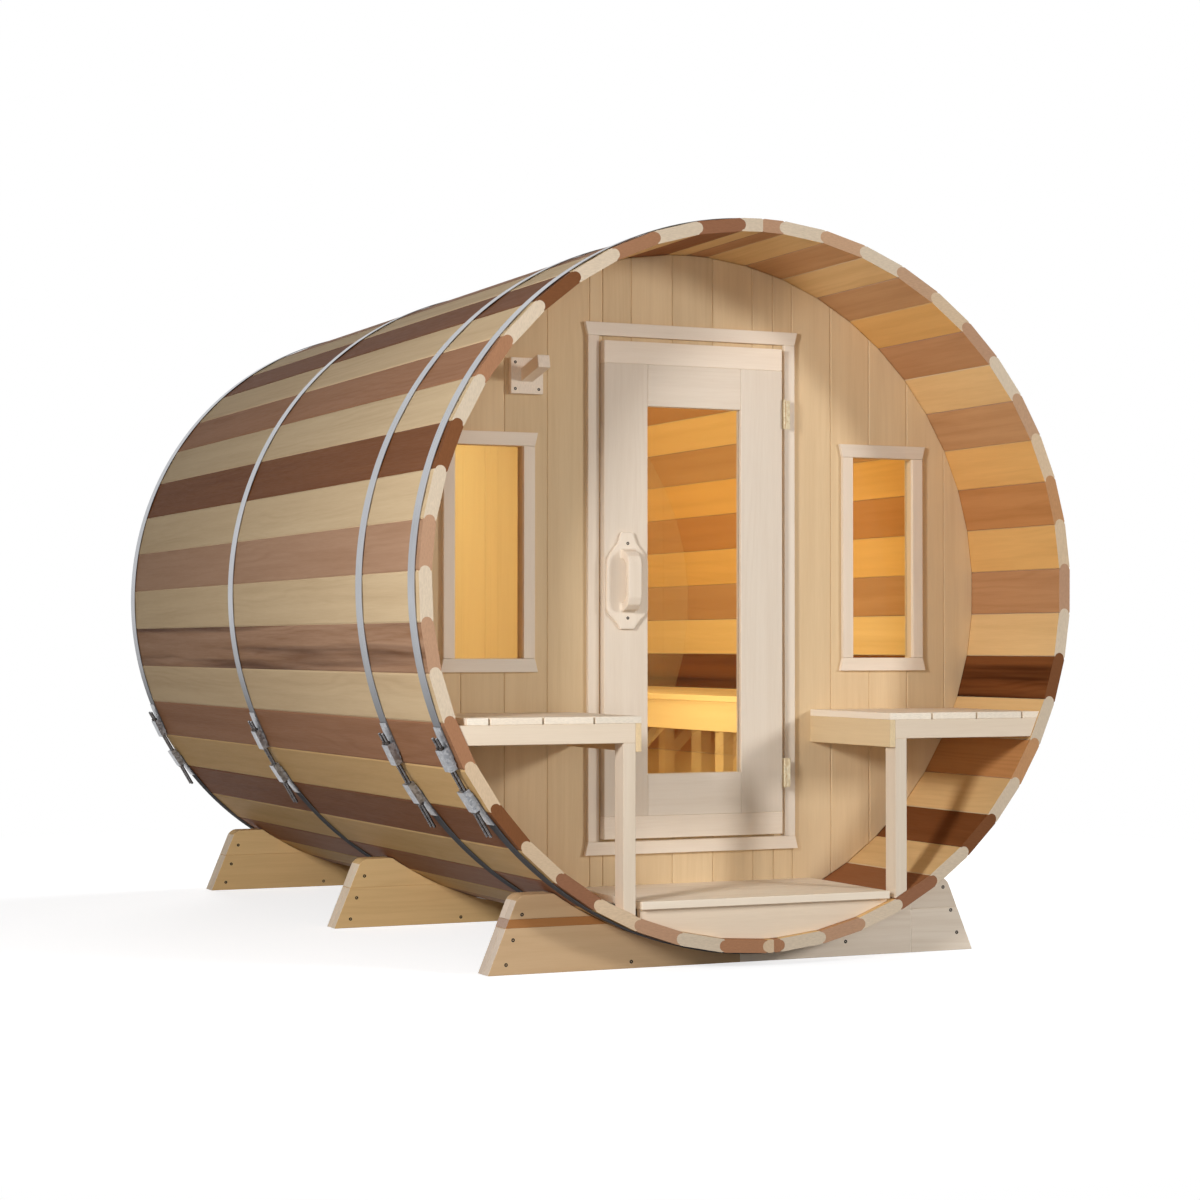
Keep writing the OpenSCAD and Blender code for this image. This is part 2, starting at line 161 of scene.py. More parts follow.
# Screws: a head's rings give the share of its radius, whether the cross is cut there, and the height
SCREW_SIDES = 16
SCREW_RINGS = (
    (1.0, False, -0.0006), (1.0, False, 0.0001), (0.88, False, 0.0005),
    (0.52, True, 0.0005), (0.36, True, -0.0012),
)
SCREW_CROSS = (1.0, 0.62, 0.42, 0.62)
SCREW_TURN = 1.5
CRADLE_SCREWS = ((0.687, 0.167), (0.714, 0.097), (0.735, 0.029), (0.35, 0.019))
CRADLE_SCREW_R = 0.0055
RIGHT_SCREW_RISE = 0.024
PEG_RISE = 0.62
PEG_PLATE_T = 0.02
PEG_SCREW_IN = 0.014
PEG_SCREW_OFF = 0.039
PEG_SCREW_R = 0.0045
HANDLE_PLATE_T = 0.012
HANDLE_SCREW_OFF = 0.111
HANDLE_SCREW_R = 0.0048
HINGE_H = 0.088
HINGE_FLANGE_T = 0.0015
HINGE_SCREWS = (0.2, 0.5, 0.8)
HINGE_SCREW_IN = 0.008
HINGE_SCREW_R = 0.0035


def srgb(red, green, blue):
    """Linear colour of an sRGB colour given in steps of 255."""
    channels = []
    for step in (red, green, blue):
        c = step / 255
        channels.append(c / 12.92 if c <= 0.04045 else ((c + 0.055) / 1.055) ** 2.4)
    return Vector((*channels, 1.0))


# Tones of the timber
PALE = srgb(216, 190, 152)
HONEY = srgb(214, 177, 124)
ROSE = srgb(190, 154, 124)
PINK = srgb(180, 142, 114)
ORANGE = srgb(186, 140, 100)
BROWN = srgb(162, 118, 88)
RUST = srgb(146, 102, 76)
DARK = srgb(120, 77, 49)
CREAM = srgb(223, 198, 160)
JOINERY = srgb(235, 222, 205)
BENCH = srgb(227, 211, 190)
# Paler tone of the bench slats and porch floor: painted light from above on their tops
DECK_PAINTED_LIGHT = srgb(241, 228, 209)
# Warmer tone of the bench aprons: painted warm bounce light
APRON_PAINTED_BOUNCE = srgb(233, 208, 167)
CRADLE = srgb(202, 170, 132)
CRADLE_PALE = srgb(236, 199, 143)
WHITEWOOD = srgb(243, 228, 209)
# Tone of the dark band in the front cradle's left blocks
DARK_BAND = srgb(170, 118, 72)
CABIN = srgb(222, 190, 146)

# Tone of each dark stave, clockwise from the top
DARK_TONES = (
    PINK, ROSE, ROSE, PINK, ROSE, ORANGE, PINK, DARK, ORANGE, DARK, RUST, PINK, BROWN,
    BROWN, PINK, RUST, DARK, BROWN, PINK, PINK, DARK, BROWN, DARK, BROWN, RUST,
)
HONEY_STAVES = (5, 9, 11, 25, 29, 31, 33)
STREAKY_STAVES = (14, 36)
STREAKY_FIGURE = 1.9

# Tints that multiply a tone
# Warmer tint of the staves' inward faces: painted warm bounce light
PAINTED_BOUNCE_TINT = (1.12, 1.0, 0.78, 1)
EARLY_TINT = (1.05, 1.05, 1.05, 1)
LATE_TINT = (0.72, 0.62, 0.52, 1)
HEART_TINT = (0.24, 0.18, 0.16, 1)
END_TINT = (1.07, 1.07, 1.07, 1)
PORE_TINT = (0.9, 0.9, 0.9, 1)

WHITE = (1, 1, 1, 1)


# Shaders
class Shader:
    """The nodes of a material or of the world, with short calls to add and join them."""

    def __init__(self, name, shelf=bpy.data.materials, output="OutputMaterial"):
        self.owner = shelf.new(name)
        self.owner.use_nodes = True
        self.tree = self.owner.node_tree
        self.tree.nodes.clear()
        self.output = self.add(output)

    def add(self, kind, settings=None, **inputs):
        node = self.tree.nodes.new("ShaderNode" + kind)
        for key, value in (settings or {}).items():
            setattr(node, key, value)
        for key, value in inputs.items():
            self.put(node.inputs[key.replace("_", " ")], value)
        return node

    def put(self, socket, value):
        if isinstance(value, bpy.types.NodeSocket):
            self.tree.links.new(value, socket)
        else:
            socket.default_value = value

    def math(self, operation, *values):
        node = self.add("Math", {"operation": operation})
        for socket, value in zip(node.inputs, values):
            self.put(socket, value)
        return node.outputs["Value"]

    def attribute(self, name, output="Fac"):
        return self.add("Attribute", {"attribute_name": name}).outputs[output]

    def place(self):
        return self.add("TexCoord").outputs["Object"]

    def axes(self, vector):
        return self.add("SeparateXYZ", Vector=vector).outputs

    def scaled(self, vector, scale):
        node = self.add("VectorMath", {"operation": "MULTIPLY"})
        self.put(node.inputs[0], vector)
        self.put(node.inputs[1], scale)
        return node.outputs["Vector"]

    def noise(self, vector, scale, detail=2.0, roughness=0.5):
        place = self.scaled(vector, scale)
        node = self.add("TexNoise", Vector=place, Scale=1.0, Detail=detail, Roughness=roughness)
        return node.outputs["Fac"]

    def spread(self, value, low, high, to_low=0.0, to_high=1.0):
        node = self.add("MapRange", Value=value, From_Min=low, From_Max=high, To_Min=to_low, To_Max=to_high)
        return node.outputs["Result"]

    def mix(self, factor, first, second, blend="MIX"):
        node = self.add("Mix", {"data_type": "RGBA", "blend_type": blend})
        self.put(node.inputs["Factor"], factor)
        self.put(node.inputs[6], first)
        self.put(node.inputs[7], second)
        return node.outputs[2]

    def tinted(self, colour, tint):
        return self.mix(1.0, colour, tint, "MULTIPLY")

    def bump(self, height, strength, distance):
        return self.add("Bump", Height=height, Strength=strength, Distance=distance).outputs["Normal"]

    def blend(self, factor, first, second):
        """A mix of two shader nodes."""
        node = self.add("MixShader", Fac=factor)
        self.put(node.inputs[1], first.outputs[0])
        self.put(node.inputs[2], second.outputs[0])
        return node

    def surface(self, node):
        self.put(self.output.inputs["Surface"], node.outputs[0])
        return self.owner

    def finish(self, **inputs):
        return self.surface(self.add("BsdfPrincipled", **inputs))


def growth_rings(s, grain):
    """Waves across a board that bend along its length and come and go in patches."""
    bend = s.noise(grain, (0.7, 6.0, 6.0), detail=3.0)
    axes = s.axes(grain)
    across = s.math("ADD", s.math("MULTIPLY", axes["Y"], 260.0), s.math("MULTIPLY", axes["Z"], 170.0))
    phase = s.math("ADD", across, s.math("MULTIPLY", bend, 60.0))
    wave = s.math("MULTIPLY_ADD", s.math("SINE", phase), 0.5, 0.5)
    patches = s.spread(s.noise(grain, (0.9, 11.0, 11.0)), 0.42, 0.66)
    return s.math("MULTIPLY", s.math("POWER", wave, 2.0), patches)


def long_grain(s, tone, grain, rings, fibres, figure, streak):
    """Colour of the planed faces, with dark bands of heartwood where a board's figure is strong."""
    drawn = s.attribute("figure")
    streaks = s.spread(s.noise(grain, (1.1, 26.0, 26.0), detail=4.0, roughness=0.6), 0.36, 0.74)
    shade = s.math("ADD", s.math("MULTIPLY", rings, figure), s.math("MULTIPLY", streaks, streak))
    shade = s.math("ADD", shade, s.math("MULTIPLY", s.math("SUBTRACT", fibres, 0.5), 0.25))
    shade = s.math("MULTIPLY", shade, drawn)
    colour = s.tinted(tone, s.mix(shade, EARLY_TINT, LATE_TINT))
    bands = s.spread(s.noise(grain, (0.45, 15.0, 15.0), detail=3.0), 0.47, 0.62)
    heart = s.math("MULTIPLY", bands, s.math("SUBTRACT", drawn, 1.0))
    return s.mix(heart, colour, s.tinted(colour, HEART_TINT))


def end_grain(s, tone, grain, value, saturation):
    """Colour of the sawn ends, with fine pores."""
    pores = s.spread(s.noise(grain, (4.0, 90.0, 420.0), detail=3.0), 0.3, 0.75)
    faded = s.add("HueSaturation", Color=tone, Saturation=saturation, Value=value)
    return s.tinted(faded.outputs["Color"], s.mix(pores, END_TINT, PORE_TINT))


def wood(name, figure, streak, end_value=1.06, end_saturation=1.0):
    """Planed timber: rings, streaks and fibres along each board, end grain where it is sawn across."""
    s = Shader(name)
    grain = s.attribute("grain", "Vector")
    tone = s.attribute("tone", "Color")
    # The staves' inward faces are tinted warmer: painted warm bounce light
    tone = s.mix(s.attribute("painted_bounce"), tone, s.tinted(tone, PAINTED_BOUNCE_TINT))
    rings = growth_rings(s, grain)
    fibres = s.noise(grain, (14.0, 480.0, 480.0))
    faces = long_grain(s, tone, grain, rings, fibres, figure, streak)
    ends = end_grain(s, tone, grain, end_value, end_saturation)
    relief = s.math("ADD", s.math("MULTIPLY", fibres, 0.7), s.math("MULTIPLY", rings, -0.3))
    return s.finish(
        Base_Color=s.mix(s.attribute("sawn"), faces, ends),
        Roughness=s.spread(fibres, 0.3, 0.7, 0.48, 0.64),
        Specular_IOR_Level=0.03,
        Normal=s.bump(relief, 0.25, 0.0004),
    )


def brushed_steel(name):
    """Rolled strip with fine lines along its length and slight clouding, darkened and dulled towards the
    ground by painted shade.
    """
    s = Shader(name)
    place = s.place()
    lines = s.noise(place, (3.0, 900.0, 3.0), detail=3.0)
    clouds = s.noise(place, (5.0, 9.0, 5.0), detail=3.0)
    clean = s.mix(clouds, (0.36, 0.37, 0.39, 1), (0.52, 0.53, 0.56, 1))
    height = s.axes(place)["Z"]
    # Painted shade: darker, less metallic and rougher towards the ground
    painted_shade = s.spread(height, *PAINTED_SHADE_ENDS, 0.0, 0.95)
    return s.finish(
        Base_Color=s.mix(painted_shade, clean, (0.08, 0.08, 0.085, 1)),
        Metallic=s.spread(height, *PAINTED_SHADE_ENDS, 1.0, 0.0),
        Roughness=s.math("MAXIMUM", s.spread(lines, 0.3, 0.7, 0.26, 0.42), painted_shade),
        Normal=s.bump(lines, 0.15, 0.0002),
        Specular_IOR_Level=0.1,
    )


def galvanised_steel(name):
    """Zinc-coated steel: small crystal patches of differing grey."""
    s = Shader(name)
    place = s.place()
    cells = s.add("TexVoronoi", Vector=s.scaled(place, (160.0,) * 3), Scale=1.0)
    patches = s.add("SeparateColor", Color=cells.outputs["Color"]).outputs["Red"]
    dirt = s.noise(place, (60.0,) * 3, detail=4.0)
    colour = s.mix(patches, (0.24, 0.25, 0.27, 1), (0.5, 0.51, 0.53, 1))
    return s.finish(
        Base_Color=s.mix(s.spread(dirt, 0.5, 0.8, 0.0, 0.5), colour, (0.25, 0.25, 0.25, 1)),
        Metallic=1.0,
        Roughness=s.spread(patches, 0.0, 1.0, 0.3, 0.5),
        Normal=s.bump(dirt, 0.2, 0.0004),
    )


def worn_metal(name, bright, dull, roughness):
    """Small fittings: metal that is duller in patches."""
    s = Shader(name)
    patches = s.spread(s.noise(s.place(), (140.0,) * 3, detail=4.0), 0.35, 0.7)
    return s.finish(
        Base_Color=s.mix(patches, bright, dull),
        Metallic=1.0,
        Roughness=s.spread(patches, 0.0, 1.0, roughness, roughness + 0.2),
        Normal=s.bump(patches, 0.1, 0.0002),
    )


def clear_glass(name):
    """Window glass with a faint film that dulls it in patches, and that lets lamp light straight through."""
    s = Shader(name)
    return s.finish(
        Base_Color=(0.98, 0.99, 0.985, 1),
        Roughness=s.spread(s.noise(s.place(), (9.0, 9.0, 3.0), detail=3.0), 0.45, 0.8, 0.0, 0.03),
        IOR=1.2,
        Transmission_Weight=1.0,
        Alpha=0.4,
    )


MATERIALS = {
    "pale_stave": wood("pale_stave", figure=0.16, streak=0.34, end_value=0.97, end_saturation=0.7),
    "dark_stave": wood("dark_stave", figure=0.24, streak=0.5),
    # Its sawn ends have end-grain pores and are painted paler and greyer than its faces: painted light on the
    # ends
    "cradle_timber": wood("cradle_timber", figure=0.14, streak=0.26, end_value=1.25, end_saturation=0.55),
    "wall_timber": wood("wall_timber", figure=0.08, streak=0.26),
    "joinery_timber": wood("joinery_timber", figure=0.06, streak=0.18),
    "bench_timber": wood("bench_timber", figure=0.07, streak=0.18),
    "cabin_timber": wood("cabin_timber", figure=0.14, streak=0.3),
    "band_steel": brushed_steel("band_steel"),
    "galvanised_steel": galvanised_steel("galvanised_steel"),
    "rod_steel": worn_metal("rod_steel", (0.12, 0.1, 0.09, 1), (0.04, 0.034, 0.03, 1), 0.4),
    "hinge_brass": worn_metal("hinge_brass", (0.9, 0.8, 0.58, 1), (0.74, 0.62, 0.4, 1), 0.34),
    "screw_steel": worn_metal("screw_steel", (0.05, 0.042, 0.036, 1), (0.02, 0.017, 0.014, 1), 0.45),
    "glass": clear_glass("glass"),
}


# Solids
def polar(radius, angle):
    """A point of the front elevation, from the barrel's axis."""
    return Vector((radius * math.sin(angle), radius * math.cos(angle)))


def loft(rings):
    """A closed solid skinned over rings of points that all have the same count."""
    bm = bmesh.new()
    rows = [[bm.verts.new(p) for p in ring] for ring in rings]
    count = len(rows[0])
    for first, second in zip(rows, rows[1:]):
        for k in range(count):
            n = (k + 1) % count
            bm.faces.new((first[k], first[n], second[n], second[k]))
    bm.faces.new(rows[0])
    bm.faces.new(rows[-1])
    bmesh.ops.recalc_face_normals(bm, faces=bm.faces)
    return bm


def join(solids):
    """Several solids in one mesh."""
    whole = bmesh.new()
    for solid in solids:
        copies = {v: whole.verts.new(v.co) for v in solid.verts}
        for face in solid.faces:
            whole.faces.new([copies[v] for v in face.verts])
        solid.free()
    return whole


def cad_solid(node):
    """A clean copy of a CAD node's mesh, with whole flat faces."""
    bm = bmesh.new()
    bm.from_mesh(frame["nodes"][node].data)
    bmesh.ops.remove_doubles(bm, verts=bm.verts, dist=WELD)
    bmesh.ops.dissolve_limit(bm, angle_limit=FLAT_ANGLE, verts=bm.verts, edges=bm.edges)
    return bm


def slice_between(bm, axis, low, high):
    """What lies of a solid between two planes across an axis, closed again."""
    part = bm.copy()
    normal = Vector([float(k == axis) for k in range(3)])
    for place, sign in ((low, -1), (high, 1)):
        if all(sign * (v.co[axis] - place) < WELD for v in part.verts):
            continue
        cut = bmesh.ops.bisect_plane(
            part,
            geom=part.verts[:] + part.edges[:] + part.faces[:],
            dist=CUT,
            plane_co=normal * place,
            plane_no=normal * sign,
            clear_outer=True,
        )
        edges = [e for e in cut["geom_cut"] if isinstance(e, bmesh.types.BMEdge)]
        if edges:
            bmesh.ops.holes_fill(part, edges=edges)
    return part


def sliced(bm, axis, start, width):
    """A solid cut into boards of one width across an axis."""
    low = min(v.co[axis] for v in bm.verts)
    high = max(v.co[axis] for v in bm.verts)
    first = math.floor((low - start) / width + SLIVER)
    last = math.ceil((high - start) / width - SLIVER)
    boards = []
    for k in range(first, last):
        part = slice_between(bm, axis, start + k * width, start + (k + 1) * width)
        if part.faces:
            boards.append(part)
    return boards


def islands(bm):
    """The separate solids of a mesh, as lists of vertices."""
    seen = set()
    groups = []
    for start in bm.verts:
        if start in seen:
            continue
        seen.add(start)
        group = [start]
        for v in group:
            for edge in v.link_edges:
                other = edge.other_vert(v)
                if other not in seen:
                    seen.add(other)
                    group.append(other)
        groups.append(group)
    return groups


def rounded(bm, edges, radius, segments):
    """Rounds the given edges of a solid."""
    bmesh.ops.bevel(
        bm, geom=edges, offset=radius, offset_type="OFFSET", segments=segments,
        profile=0.5, affect="EDGES", clamp_overlap=True,
    )


def soften(bm, arris, segments=2):
    """Rounds the sharp edges of a solid."""
    sharp = [e for e in bm.edges if e.is_manifold and e.calc_face_angle(0.0) > SHARP_ANGLE]
    rounded(bm, sharp, arris, segments)


def show(name, bm, slot, body, nodes):
    """Makes a mesh a piece of the part, standing for CAD nodes where there are any."""
    mesh = bpy.data.meshes.new(name)
    bm.to_mesh(mesh)
    bm.free()
    piece = bpy.data.objects.new(name, mesh)
    bpy.context.collection.objects.link(piece)
    mesh.materials.append(MATERIALS[slot])
    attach(piece, body)
    if nodes:
        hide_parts(*nodes)


def looks_inward(face):
    """Whether a face looks at the barrel's axis."""
    middle = face.calc_center_median() - Vector((0, 0, AXIS_Z))
    outward = Vector((middle.x, 0, middle.z)).normalized()
    return face.normal.dot(outward) < -FACING


class Timber:
    """A piece of wooden solids, each with its own tone and its own stretch of grain."""

    def __init__(self, name, slot):
        self.name = name
        self.slot = slot
        self.bm = bmesh.new()
        self.grain = self.bm.verts.layers.float_vector.new("grain")
        self.tone = self.bm.verts.layers.float_color.new("tone")
        self.figure = self.bm.verts.layers.float.new("figure")
        self.sawn = self.bm.faces.layers.float.new("sawn")
        self.painted_bounce = self.bm.faces.layers.float.new("painted_bounce")

    def add(self, solid, tone, along=None, figure=1.0, arris=None, vary=PIECE_VARY):
        if arris:
            soften(solid, arris)
        for group in islands(solid):
            self.add_board(group, tone, along, figure, vary)
        solid.free()

    def add_board(self, group, tone, along, figure, vary):
        low = Vector([min(v.co[k] for v in group) for k in range(3)])
        high = Vector([max(v.co[k] for v in group) for k in range(3)])
        size = high - low
        axis = max(range(3), key=lambda k: size[k]) if along is None else along
        order = [axis] + sorted((k for k in range(3) if k != axis), key=lambda k: -size[k])
        shift = Vector([chance.uniform(0, GRAIN_REACH) for k in range(3)])
        bright = 1 + chance.uniform(-vary, vary)
        warm = 1 + chance.uniform(-vary, vary) * WARMTH_SHARE
        colour = Vector((tone[0] * bright * warm, tone[1] * bright, tone[2] * bright / warm, 1))
        copies = {}
        for v in group:
            copy = self.bm.verts.new(v.co)
            copy[self.grain] = Vector([v.co[k] for k in order]) + shift
            copy[self.tone] = colour
            copy[self.figure] = figure
            copies[v] = copy
        for face in dict.fromkeys(f for v in group for f in v.link_faces):
            made = self.bm.faces.new([copies[v] for v in face.verts])
            made[self.sawn] = float(abs(face.normal[axis]) > FACING)
            # Marks the staves' inward faces, which get the painted warm bounce light
            made[self.painted_bounce] = float("stave" in self.slot and looks_inward(face))

    def place(self, body, *nodes):
        show(self.name, self.bm, self.slot, body, nodes)


# Staves
def stave_sweep(i):
    """The angle that a stave takes: half staves close the ring at the top, narrow ones at the bottom."""
    if i in (LOW_STAVE, LOW_STAVE + 1):
        return LOW_SWEEP
    pitch = RIGHT_PITCH if i < LOW_STAVE else LEFT_PITCH
    return pitch / 2 if i in (0, STAVE_COUNT - 1) else pitch


def bead(t):
    """How far a stave's beaded edge stands out, from 0 at its outer face to 1 at its inner face."""
    half = 0.5 - BEAD_SHOULDER
    radius = (half ** 2 + BEAD_RISE ** 2) / (2 * BEAD_RISE)
    off = t - 0.5
    if abs(off) >= half:
        return 0.0
    return max(0.0, math.sqrt(radius ** 2 - off ** 2) - (radius - BEAD_RISE))


def stave_edge(angle, inner_r, bulge):
    """A stave's edge from its outer to its inner face, beaded towards larger angles where bulge is 1."""
    outer = polar(BARREL_R, angle)
    inner = polar(inner_r, angle)
    along = Vector((math.cos(angle), -math.sin(angle)))
    arris = STAVE_ARRIS / STAVE_T
    steps = [arris, BEAD_SHOULDER]
    steps += [BEAD_SHOULDER + (1 - 2 * BEAD_SHOULDER) * k / BEAD_STEPS for k in range(1, BEAD_STEPS)]
    steps += [1 - BEAD_SHOULDER, 1 - arris]
    return [outer.lerp(inner, t) + along * (bulge * bead(t) * STAVE_T) for t in steps]


def stave_section(i, start, end):
    """Front elevation of a stave, with its long edges taken off."""
    inner_r = BARREL_R - STAVE_T / math.cos((end - start) / 2)
    way = -1 if i <= LOW_STAVE else 1
    bulges = [way, way]
    if i in (0, LOW_STAVE + 1):
        bulges[0] = 0
    if i in (LOW_STAVE, STAVE_COUNT - 1):
        bulges[1] = 0
    near = stave_edge(start, inner_r, bulges[0])
    far = stave_edge(end, inner_r, bulges[1])
    corners = [polar(BARREL_R, start), polar(inner_r, start), polar(inner_r, end), polar(BARREL_R, end)]
    outer_step = (corners[3] - corners[0]).normalized() * ARRIS_W
    inner_step = (corners[2] - corners[1]).normalized() * STAVE_ARRIS
    section = [corners[0] + outer_step] + near + [corners[1] + inner_step]
    section += [corners[2] - inner_step] + far[::-1] + [corners[3] - outer_step]
    return section


def stave(i, start, end):
    section = stave_section(i, start, end)
    return loft([[Vector((p.x, y, AXIS_Z + p.y)) for p in section] for y in (FRONT_Y, BACK_Y)])


def make_staves():
    pale = Timber("beaded_pale_staves", "pale_stave")
    dark = Timber("beaded_dark_staves", "dark_stave")
    start = 0.0
    for i in range(STAVE_COUNT):
        end = start + stave_sweep(i)
        solid = stave(i, start, end)
        if i % 2:
            pale.add(solid, HONEY if i in HONEY_STAVES else PALE, along=Y, vary=PALE_VARY)
        else:
            figure = STREAKY_FIGURE if i in STREAKY_STAVES else 1.0
            dark.add(solid, DARK_TONES[i // 2], along=Y, figure=figure, vary=DARK_VARY)
        start = end
    pale.place("sauna", "pale_staves")
    dark.place("sauna", "dark_staves")


# Bands and tensioners
def band(node):
    """A rolled strip round the barrel, open between its tensioner's lugs."""
    low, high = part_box(node)
    outer = (high.x - low.x) / 2
    inner = BARREL_R + BAND_GAP
    profile = (
        (inner, low.y + BAND_EDGE), (outer - BAND_EDGE, low.y), (outer, low.y + BAND_EDGE),
        (outer, high.y - BAND_EDGE), (outer - BAND_EDGE, high.y), (inner, high.y - BAND_EDGE),
    )
    first = TENSIONER_ANGLE + LUG_SPREAD / 2
    sweep = math.tau - LUG_SPREAD
    rings = []
    for k in range(BAND_STEPS + 1):
        angle = first + sweep * k / BAND_STEPS
        ring = []
        for radius, y in profile:
            p = polar(radius, angle)
            ring.append(Vector((p.x, y, AXIS_Z + p.y)))
        rings.append(ring)
    return loft(rings)


def tensioner_place(y):
    """Moves from a tensioner's own axes, tangent, along the barrel and radial, to the frame."""
    turn = Matrix.Rotation(TENSIONER_ANGLE, 4, "Y")
    return Matrix.Translation((0, y, AXIS_Z)) @ turn


def rod_ring(at, offset, radius, sides):
    """A ring of points round a tensioner rod, in the tensioner's own axes."""
    ring = []
    for k in range(sides):
        a = math.tau * k / sides
        ring.append(Vector((at, offset + radius * math.cos(a), ROD_HEIGHT + radius * math.sin(a))))
    return ring


def nut(at, offset):
    """A hexagonal nut on a tensioner rod."""
    return loft([rod_ring(at + x * NUT_H, offset, share * NUT_R, NUT_SIDES) for x, share in NUT_RINGS])


def thread(offset):
    """The thread of a tensioner rod, as ridges round it."""
    start = -ROD_DROP - ROD_LEN / 2
    rings = []
    for k in range(2 * int(ROD_LEN / THREAD_PITCH) + 1):
        radius = ROD_R + (THREAD_RIDGE if k % 2 else THREAD_ROOT)
        rings.append(rod_ring(start + k * THREAD_PITCH / 2, offset, radius, THREAD_SIDES))
    return loft(rings)


def make_bands():
    for node in BANDS:
        low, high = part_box(node)
        middle = (low.y + high.y) / 2
        show(f"rolled_{node}", band(node), "band_steel", "sauna", [node])
        lugs = cad_solid(f"{node}_tensioner")
        soften(lugs, LUG_ARRIS, LUG_STEPS)
        show(f"galvanised_{node}_tensioner", lugs, "galvanised_steel", "sauna", [f"{node}_tensioner"])
        fittings = []
        for offset in (-ROD_OFFSET, ROD_OFFSET):
            fittings.append(thread(offset))
            fittings += [nut(side * NUT_AT, offset) for side in (-1, 1)]
        whole = join(fittings)
        bmesh.ops.transform(whole, matrix=tensioner_place(middle), verts=whole.verts)
        show(f"{node}_nuts_and_threads", whole, "rod_steel", "sauna", [])


# Screws
def screw(at, out, radius, turn):
    """A countersunk head with a cross recess, facing a direction."""
    rings = []
    for share, crossed, height in SCREW_RINGS:
        ring = []
        for k in range(SCREW_SIDES):
            a = math.tau * k / SCREW_SIDES + turn
            reach = radius * share * (SCREW_CROSS[k % 4] if crossed else 1.0)
            ring.append(Vector((reach * math.cos(a), reach * math.sin(a), height)))
        rings.append(ring)
    head = loft(rings)
    place = Matrix.Translation(at) @ out.to_track_quat("Z", "Y").to_matrix().to_4x4()
    bmesh.ops.transform(head, matrix=place, verts=head.verts)
    return head


def screws(name, places, out, radius, slot, body):
    heads = [screw(Vector(p), Vector(out), radius, chance.uniform(0, SCREW_TURN)) for p in places]
    show(name, join(heads), slot, body, [])


def cradle_screws(end):
    low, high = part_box(f"{end}_cradle_beam")
    for face, y, out in (("front", low.y, FORWARD), ("back", high.y, BACKWARD)):
        places = [(-x, y, z) for x, z in CRADLE_SCREWS]
        places += [(x, y, z + RIGHT_SCREW_RISE) for x, z in CRADLE_SCREWS]
        screws(f"{end}_cradle_{face}_screws", places, out, CRADLE_SCREW_R, "screw_steel", "sauna")


def peg_screws():
    low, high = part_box("robe_peg")
    plate_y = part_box("front_wall_left")[0].y - PEG_PLATE_T
    middle_z = AXIS_Z + PEG_RISE
    places = []
    for x in (low.x + PEG_SCREW_IN, high.x - PEG_SCREW_IN):
        places += [(x, plate_y, middle_z + side * PEG_SCREW_OFF) for side in (-1, 1)]
    screws("robe_peg_screws", places, FORWARD, PEG_SCREW_R, "screw_steel", "sauna")


def handle_screws():
    low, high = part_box("door_handle")
    plate_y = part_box("door_stiles")[0].y - HANDLE_PLATE_T
    middle = (low + high) / 2
    places = [(middle.x, plate_y, middle.z + side * HANDLE_SCREW_OFF) for side in (-1, 1)]
    screws("door_handle_screws", places, FORWARD, HANDLE_SCREW_R, "screw_steel", "door")


def hinge_screws():
    low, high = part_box("frame_hinge_leaves")
    flange_y = high.y - HINGE_FLANGE_T
    places = []
    for share in HINGE_SCREWS:
        rise = share * HINGE_H
        places += [(high.x - HINGE_SCREW_IN, flange_y, z) for z in (low.z + rise, high.z - rise)]
    screws("hinge_screws", places, FORWARD, HINGE_SCREW_R, "hinge_brass", "sauna")


def make_screws():
    for end in CRADLES:
        cradle_screws(end)
    peg_screws()
    handle_screws()
    hinge_screws()


# Timber pieces cut from the CAD solids
def plain_timber(node, slot, tone, body="sauna", along=None, arris=BOARD_ARRIS):
    piece = Timber(f"planed_{node}", slot)
    piece.add(cad_solid(node), tone, along=along, arris=arris)
    piece.place(body, node)


def boarded(node, slot, tone, across, start, width, along, arris):
    piece = Timber(f"boarded_{node}", slot)
    for board in sliced(cad_solid(node), across, start, width):
        piece.add(board, tone, along=along, arris=arris, vary=BOARD_VARY)
    piece.place("sauna", node)


def make_walls():
    for node in ("front_wall_left", "front_wall_right", "front_wall_head", "front_wall_foot", "back_wall"):
        boarded(node, "wall_timber", CREAM, X, WALL_SEAM_X, WALL_BOARD_W, Z, WALL_ARRIS)


def make_joinery():
    for node in (
        "door_casing_head_and_sill", "door_casing_jambs",
        "left_window_casing", "right_window_casing", "robe_peg",
    ):
        plain_timber(node, "joinery_timber", JOINERY)
    for node in ("door_stiles", "door_end_rails", "door_inner_rails"):
        along = X if "rails" in node else Z
        plain_timber(node, "joinery_timber", JOINERY, "door", along, LEAF_ARRIS)


def worn_handle():
    """The handle's CAD solid with all its corners worn round."""
    mesh = bpy.data.meshes.new("handle_blank")
    blank = cad_solid("door_handle")
    blank.to_mesh(mesh)
    blank.free()
    worker = bpy.data.objects.new("handle_blank", mesh)
    bpy.context.collection.objects.link(worker)
    remesh = worker.modifiers.new("voxels", "REMESH")
    remesh.mode = "VOXEL"
    remesh.voxel_size = HANDLE_VOXEL
    smooth = worker.modifiers.new("worn", "SMOOTH")
    smooth.factor = HANDLE_WEAR
    smooth.iterations = HANDLE_PASSES
    shaped = worker.evaluated_get(bpy.context.evaluated_depsgraph_get())
    bm = bmesh.new()
    bm.from_mesh(shaped.to_mesh())
    bpy.data.objects.remove(worker)
    return bm


def make_handle():
    piece = Timber("carved_door_handle", "joinery_timber")
    piece.add(worn_handle(), JOINERY, along=Z)
    for face in piece.bm.faces:
        face.smooth = True
    piece.place("door", "door_handle")


